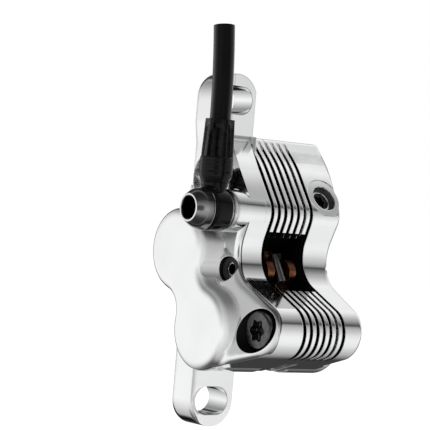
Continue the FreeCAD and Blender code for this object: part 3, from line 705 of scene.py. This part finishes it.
for name, piece in nodes.items():
    piece.data.materials.clear()
    piece.data.materials.append(finish_for(name))
print(len(nodes), "nodes dressed")

# %% [markdown]
# The hose fitting is turned on a lathe, and only its crimp, the foot of its neck and its socket are not
# round. So one function makes all of its pieces: rings of points are stacked along an axis, and each
# ring's radius may change with the angle. A ring costs little, so the rounded edges are real geometry,
# which a glossy black finish needs.

# %% Profiles and eased steps
crisp = 0.05 * mm
fine = 0.1 * mm


def eased(value):
    """Value held between 0 and 1, leaving and reaching both without a kink."""
    value = np.clip(value, 0, 1)
    return value * value * (3 - 2 * value)


def eased_profile(rows, steps=7):
    """Closed outline from rows of (height, radius, round): each corner is eased from one round away."""
    rows = np.array(rows, float)
    corners, rounds = rows[:, :2], rows[:, 2:]
    to_last = np.roll(corners, 1, axis=0) - corners
    to_next = np.roll(corners, -1, axis=0) - corners
    start = corners + to_last / np.linalg.norm(to_last, axis=1, keepdims=True) * rounds
    end = corners + to_next / np.linalg.norm(to_next, axis=1, keepdims=True) * rounds
    t = np.linspace(0, 1, steps)[None, :, None]
    curve = start[:, None] * (1 - t) ** 2 + 2 * corners[:, None] * t * (1 - t) + end[:, None] * t ** 2
    return curve.reshape(-1, 2)


def hexagon_radius(angle, flat):
    """Radius of a hexagon at an angle, from the distance of its flats."""
    return flat / np.cos((angle + np.pi / 6) % (np.pi / 3) - np.pi / 6)


print("profiles ready")

# %% [markdown]
# Rows of rings become a closed surface: each ring is joined to the next, and the last one joins the first
# or both ends are capped. The sign of the volume says whether the faces look outwards, and they are turned
# if not. Every piece rides on the caliper's body.

# %% Turned surfaces
ring_points = 120
ring_angle = np.linspace(0, 2 * np.pi, ring_points, endpoint=False)
sharp_angle = math.radians(40)


def ring_surface(name, points, material, capped):
    """Closed surface through rows of rings, given as points[row, place on the ring]."""
    count, ring_size = points.shape[:2]
    rows, columns = np.indices((count, ring_size))
    beside = (columns + 1) % ring_size
    next_row = (rows + 1) % count
    faces = np.stack([rows * ring_size + columns, rows * ring_size + beside,
                      next_row * ring_size + beside, next_row * ring_size + columns], axis=-1)
    faces = (faces[:-1] if capped else faces).reshape(-1, 4)
    flat = points.reshape(-1, 3)
    arm = flat[faces] - flat.mean(axis=0)
    areas = np.cross(arm[:, 1], arm[:, 2]) + np.cross(arm[:, 2], arm[:, 3])
    volume = np.einsum("ij,ij->", arm[:, 0], areas)
    faces = faces.tolist()
    if capped:
        ring = list(range(ring_size))
        faces += [ring[::-1], [(count - 1) * ring_size + k for k in ring]]
    if volume < 0:
        faces = [face[::-1] for face in faces]
    mesh = bpy.data.meshes.new(name)
    mesh.from_pydata(flat, [], faces)
    mesh.set_sharp_from_angle(angle=sharp_angle)
    mesh.materials.append(material)
    piece = bpy.data.objects.new(name, mesh)
    bpy.context.scene.collection.objects.link(piece)
    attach(piece, "caliper")
    print(name, len(faces), "faces")
    return piece


def turned_piece(name, origin, axis, height, radius, material, capped=False):
    """Rings at origin + axis * height + radius * (cos a, sin a)."""
    axis = np.array(axis, float)
    first = np.cross(axis, axis_y)
    first /= np.linalg.norm(first)
    second = np.cross(axis, first)
    spoke = np.cos(ring_angle)[:, None] * first + np.sin(ring_angle)[:, None] * second
    radius = np.broadcast_to(np.reshape(radius, (len(height), -1)), (len(height), ring_points))
    points = np.array(origin) + height[:, None, None] * axis + radius[:, :, None] * spoke
    return ring_surface(name, points, material, capped)


# %% [markdown]
# The ferrule is a black sleeve pressed on the hose. Six dies squeeze its upper part to flats and leave a
# narrow ridge of the old round between two flats. Below, it stays round, with fine lathe rings and a
# chamfered foot. The rows of the wall are set in one point before the foot's round ends, so the outline
# steps back once, and a straight wall from the foot to the mouth lies over the crimp and softens it.

# %% Crimped ferrule
ferrule_low, ferrule_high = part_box("hose_ferrule")
ferrule_axis = (ferrule_low + ferrule_high) / 2
ferrule_axis.z = ferrule_low.z
sleeve_height = ferrule_high.z - ferrule_low.z
band_radius = 4.02 * mm
foot_radius = 3.25 * mm
foot_height = 1.5 * mm
band_after = foot_height + 0.55 * mm
band_from = foot_height + 0.7 * mm
band_to = sleeve_height - 0.3 * mm
band_rows = 150
crimp_radius = 3.5 * mm
crimp_flat = 3.24 * mm
crimp_start = 5.9 * mm
crimp_run = 0.45 * mm
crimp_turn = math.radians(10.4)
hose_hole = 2.6 * mm
shank_hole = 1.25 * mm
hole_floor = sleeve_height - 7.4 * mm
lathe_rings = (2.6 * mm, 4.2 * mm, 5.2 * mm)
lathe_width = 0.1 * mm
lathe_depth = 0.06 * mm
wall_least = 1.0 * mm

sleeve = eased_profile([
    (0, shank_hole, fine), (0, foot_radius, 0.25 * mm), (foot_height, band_radius, 0.6 * mm),
    (sleeve_height, band_radius, 0.2 * mm), (sleeve_height, hose_hole, 0.15 * mm),
    (hole_floor, hose_hole, fine), (hole_floor, shank_hole, fine)])
band_at = int(np.argmax(sleeve[:, 0] > band_after))
climb = np.linspace(band_from, band_to, band_rows)
band = np.column_stack([climb, np.full_like(climb, band_radius)])
sleeve = np.vstack([sleeve[:band_at], band, sleeve[band_at:]])
height, wide = sleeve[:, 0:1], sleeve[:, 1:2]
squeeze = eased((height - crimp_start) / crimp_run)
pressed = np.minimum(crimp_radius, hexagon_radius(ring_angle + crimp_turn, crimp_flat))[None, :]
pressed = np.minimum(pressed, wide)
rings = sum(np.exp(-((height - at) / lathe_width) ** 2) for at in lathe_rings)
shaped = wide + (pressed - wide) * squeeze - lathe_depth * rings * (wide > hose_hole + wall_least)
ferrule = turned_piece("crimped_ferrule", ferrule_axis, axis_z, sleeve[:, 0], shaped,
                       black_alloy)
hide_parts("hose_ferrule")

# %% [markdown]
# The banjo eye is a barrel round the bolt with an oil chamber inside, between the two washers.

# %% Banjo eye
eye_low, eye_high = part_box("banjo_fitting")
eye_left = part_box("banjo_washer_outer")[1].x
eye_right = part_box("banjo_washer_inner")[0].x
eye_radius = (eye_high.y - eye_low.y) / 2
eye_half = (eye_right - eye_left) / 2
eye_centre = Vector(((eye_left + eye_right) / 2, (eye_low.y + eye_high.y) / 2, eye_low.z + eye_radius))
chamber = 3.7 * mm
shoulder = 0.955 * eye_radius
shoulder_round = 0.75 * mm

barrel = eased_profile([
    (-eye_half, chamber, fine), (-eye_half, shoulder, shoulder_round), (0, eye_radius, 1.8 * mm),
    (eye_half, shoulder, shoulder_round), (eye_half, chamber, fine)], steps=12)
eye = turned_piece("banjo_eye", eye_centre, axis_x, barrel[:, 0], barrel[:, 1], black_alloy)
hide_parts("banjo_fitting")

# %% [markdown]
# A neck rises from the eye to the ferrule. It is as thin as the eye between the washers, so it starts as
# an oval, and becomes round above them. Eye and neck overlap inside the metal, so no seam has to be cut.

# %% Banjo neck
neck_foot = 3.9 * mm
neck_top = ferrule_low.z - eye_centre.z
neck_thin = eye_half - 0.08 * mm
neck_wide = 3.15 * mm
neck_rows = 40
widen_start = 4.95 * mm
widen_run = 0.75 * mm

climb = np.linspace(neck_foot, neck_top, neck_rows)
half_thick = neck_thin + (neck_wide - neck_thin) * eased((climb - widen_start) / widen_run)
across = np.hypot(neck_wide * np.cos(ring_angle), half_thick[:, None] * np.sin(ring_angle))
oval = half_thick[:, None] * neck_wide / across
heights = np.concatenate([climb, climb[::-1]])
radii = np.vstack([oval, np.full_like(oval, shank_hole)])
turned_piece("banjo_neck", eye_centre, axis_z, heights, radii, black_alloy)

# %% [markdown]
# The banjo bolt has a head like a blunt bullet, as wide as the eye, so that nothing catches on
# it. Its hex socket has a cone that guides the key in: the void is the larger of the hexagon
# and that cone at each depth.

# %% Banjo bolt
bolt_low, bolt_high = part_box("banjo_bolt")
head_foot = eye_centre.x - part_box("banjo_washer_outer")[0].x
head_top = eye_centre.x - bolt_low.x
bolt_tip = eye_centre.x - bolt_high.x
flange_radius = 0.985 * eye_radius
bolt_radius = 3.15 * mm
oil_bore = 0.4 * mm
face_radius = 3.35 * mm
dome_start = 0.3 * mm
dome_end = 1.8 * mm
dome_fall = 0.7 * mm
key_flat = 2.5 * mm
key_depth = 3.1 * mm
lead_in = 3.0 * mm
lead_slope = 1.2
drill_height = 0.6 * mm
lead_levels = np.linspace(0.02 * mm, 0.5 * mm, 9)
key_levels = np.linspace(0.7 * mm, key_depth, 5)
drill_share = np.linspace(0.85, 0.1, 5)

bullet = eased_profile([
    (bolt_tip, oil_bore, fine), (bolt_tip, bolt_radius, 0.4 * mm), (head_foot, bolt_radius, fine),
    (head_foot, flange_radius, 0.12 * mm), (head_foot + dome_start, flange_radius, 0.15 * mm),
    (head_top - dome_end, flange_radius - dome_fall, 0.9 * mm), (head_top, face_radius, 0.16 * mm),
    (head_top, lead_in, crisp)], steps=9)
depth = np.concatenate([lead_levels, key_levels])
key_hole = np.maximum(hexagon_radius(ring_angle, key_flat)[None, :], lead_in - lead_slope * depth[:, None])
drill_point = drill_share[:, None] * key_hole[-1:, :]
drill_depth = key_depth + (1 - drill_share) * drill_height
heights = np.concatenate([bullet[:, 0], head_top - depth, head_top - drill_depth])
radii = np.vstack([np.repeat(bullet[:, 1:2], ring_points, axis=1), key_hole, drill_point])
bolt = turned_piece("banjo_bullet_bolt", eye_centre, away_from_wheel, heights, radii, black_chrome,
                    capped=True)
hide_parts("banjo_bolt")

# %% [markdown]
# The hose boss runs out of the bridge without a seam: it is as round as the bridge's shoulder
# there. The solid's boss is a little thinner, so a polished sleeve is fitted over it, on the
# banjo's axis and flush with the shoulder.

# %% Hose boss
boss_radius = 5.21 * mm
boss_core = 4.5 * mm
boss_seat = eye_centre.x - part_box("banjo_washer_inner")[1].x
boss_root = -12.4 * mm

boss_wall = eased_profile([
    (boss_root, boss_core, crisp), (boss_root, boss_radius, crisp), (boss_seat, boss_radius, 0.4 * mm),
    (boss_seat, boss_core, crisp)], steps=9)
turned_piece("hose_boss_sleeve", eye_centre, away_from_wheel, boss_wall[:, 0], boss_wall[:, 1],
             polished_alloy)

# %% [markdown]
# The upper ear is one smooth plate in the photograph. In the solid the first cooling groove runs
# on through it, so a polished skin is laid over that side of the ear: a band between the slot and
# the ear's edge, as deep as the ear. It is a square profile carried along the slot's outline, and
# its outer corner follows the ear.

# %% Upper ear
ear_z = 37 * mm
ear_radius = 6.42 * mm
ear_right = 5.97 * mm
ear_front = -7.42 * mm
ear_back = -0.2 * mm
slot_radius = 3.48 * mm
slot_turn = 1.5 * mm
skin_left = -1.0 * mm
skin_foot = 27.9 * mm
tip_points = 50
side_points = 41
foot_points = 31
slot_points = 90


def path_points(corners, count):
    """Points evenly spaced along a polyline."""
    corners = np.array(corners)
    step = np.linalg.norm(np.diff(corners, axis=0), axis=1)
    run = np.concatenate([[0], np.cumsum(step)])
    at = np.linspace(0, run[-1], count)
    return np.column_stack([np.interp(at, run, corners[:, k]) for k in range(2)])


tip = np.linspace(math.acos(skin_left / ear_radius), math.acos(ear_right / ear_radius), tip_points)
tip_arc = ear_radius * np.column_stack([np.cos(tip), np.sin(tip)]) + (0, ear_z)
edge = np.vstack([tip_arc, path_points([tip_arc[-1], (ear_right, skin_foot)], side_points)[1:],
                  path_points([(ear_right, skin_foot), (skin_left, skin_foot)], foot_points)[1:]])
half_turn = np.linspace(np.pi / 2, -np.pi / 2, slot_points)
slot_arc = slot_radius * np.column_stack([np.cos(half_turn), np.sin(half_turn)]) + (slot_turn, ear_z)
slot_line = np.vstack([[(skin_left, ear_z + slot_radius)], slot_arc, [(skin_left, ear_z - slot_radius)]])
slot_line = path_points(slot_line, len(edge))
skin = np.zeros((len(edge), 4, 3))
square_corners = ((slot_line, ear_back), (slot_line, ear_front), (edge, ear_front), (edge, ear_back))
for corner, (line, y) in enumerate(square_corners):
    skin[:, corner, 0] = line[:, 0]
    skin[:, corner, 1] = y
    skin[:, corner, 2] = line[:, 1]
ring_surface("upper_ear_skin", skin, polished_alloy, capped=True)

# %% [markdown]
# The same groove also opens the root of the ear. A small block fills it there.

# %% Root of the upper ear
root_front = -9.01 * mm
root_top = 28.41 * mm
root_foot = 26.4 * mm
root_sides = (3.85 * mm, 4.95 * mm)

root_outline = ((root_front, root_foot), (ear_front, root_foot),
                (ear_front, root_top), (root_front, root_top))
plug = np.array([[(x, y, z) for y, z in root_outline] for x in root_sides])
ring_surface("upper_ear_root_plug", plug, polished_alloy, capped=True)

# %% [markdown]
# Below the ear the crown runs up to a narrow ledge in one sweep. The solid has a square root there,
# so a skin carries the crown on over it: a line that rises from the crown to the ledge, drawn across
# from the flank to the first groove. At the flank it rolls off like the rest of the edge. Its points
# are pairs of Y and Z.

# %% Crown below the ear
crown_foot = np.array([-15.5, 17.6]) * mm
crown_up = np.array([0.575, 0.818])
crown_out = np.array([-0.818, 0.575])
crown_run = 11.61 * mm
crown_rise = 0.32 * mm
crown_sunk = 0.03 * mm
crown_inner_foot = (-12.2 * mm, 17.6 * mm)
ear_root_low = 24.0 * mm
edge_roll = 1.5 * mm
roll_stop = 0.95
roll_fade = 0.7
ledge_round = 0.5 * mm
skin_edge = -3.4 * mm
first_groove = 3.88 * mm
sweep_rows = 40
ledge_rows = 8
crown_columns = 48

share = np.linspace(0, 1, sweep_rows)[:, None]
lift = crown_rise * eased(share) - crown_sunk
front_line = crown_foot + crown_run * share * crown_up + lift * crown_out
bend = np.linspace(0, np.pi / 2, ledge_rows)[1:, None]
ledge = front_line[-1] + ledge_round * np.hstack([1 - np.cos(bend), np.sin(bend)])
inner_line = np.array([(ear_front, ledge[-1, 1]), (ear_front, ear_root_low), crown_inner_foot])
outline = np.vstack([front_line, ledge, inner_line])

across = np.linspace(skin_edge, first_groove, crown_columns)
past = np.clip(skin_edge + edge_roll - across, 0, edge_roll)
drop = edge_roll - np.sqrt(edge_roll ** 2 - past ** 2)
no_fall = np.zeros(len(ledge) + len(inner_line))
falls = np.concatenate([eased((roll_stop - share[:, 0]) / roll_fade), no_fall])
crown = np.zeros((len(across), len(outline), 3))
crown[:, :, 0] = across[:, None]
crown[:, :, 1:] = outline[None] - (drop[:, None] * falls)[:, :, None] * crown_out
ring_surface("crown_skin", crown, polished_alloy, capped=True)

# %% [markdown]
# Two screws have a six-lobed star for a key: the radius of the socket swings six times a turn about a
# mean. The levels of a screw are measured along its axis, from its seat outwards.

# %% Star screws
star_lobes = 6
star_swing = 0.16
star_rim = 1.2
shank_bore = 0.4 * mm
star_chamfer = 0.03 * mm
floor_step = 0.05 * mm
socket_rows = 6
closing = np.linspace(0.8, 0.15, 4)


def star_screw(name, origin, axis, levels, shank_radius, head_radius, star_radius, material):
    """Round head on a shank, with a star socket. The levels are foot, neck, top and socket floor."""
    foot, neck, top, socket_floor = levels
    screw_outline = eased_profile([
        (foot, shank_bore, fine), (foot, shank_radius, 0.4 * mm), (neck, shank_radius, crisp),
        (neck, head_radius, crisp), (top, head_radius, 0.25 * mm), (top, star_rim * star_radius, crisp)])
    star = star_radius * (1 + star_swing * np.cos(star_lobes * ring_angle))
    wall = np.linspace(top - star_chamfer, socket_floor, socket_rows)
    heights = np.concatenate([screw_outline[:, 0], wall, np.full(len(closing), socket_floor - floor_step)])
    radii = np.vstack([np.repeat(screw_outline[:, 1:2], ring_points, axis=1),
                       np.repeat(star[None, :], len(wall), axis=0), closing[:, None] * star[None, :]])
    return turned_piece(name, origin, axis, heights, radii, material, capped=True)


# %% [markdown]
# The bleed screw sits below the rim of its boss, so that the bright wall of the recess shows round it. The
# upper body bolt hides behind the hose fitting in the photograph, so its head is no higher than the flank
# and as bright as the metal round it.

# %% Bleed screw and upper bolt
bleed_sink = 0.22 * mm
bleed_seat = centre("bleed_seal") - out * bleed_sink
bleed_levels = (-7.5 * mm, -3.0 * mm, -0.5 * mm, -2.2 * mm)
upper_low, upper_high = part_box("upper_body_bolt")
upper_head_height = 3.4 * mm
upper_seat = centre("upper_body_bolt")
upper_seat.x = upper_low.x + upper_head_height
upper_levels = (upper_seat.x - upper_high.x, 0.0, 1.4 * mm, 0.3 * mm)

screw = star_screw("bleed_star_screw", bleed_seat, out, bleed_levels, shank_radius=2.1 * mm,
                   head_radius=2.7 * mm, star_radius=1.5 * mm, material=dark_steel)
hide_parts("bleed_screw")
upper_bolt = star_screw("upper_low_bolt", upper_seat, away_from_wheel, upper_levels, shank_radius=3.0 * mm,
                        head_radius=5.15 * mm, star_radius=2.0 * mm, material=bright_steel)
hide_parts("upper_body_bolt")

# %% [markdown]
# Last, the colours are shown plainly, without a film curve.

# %% View transform
bpy.context.scene.view_settings.view_transform = "Standard"
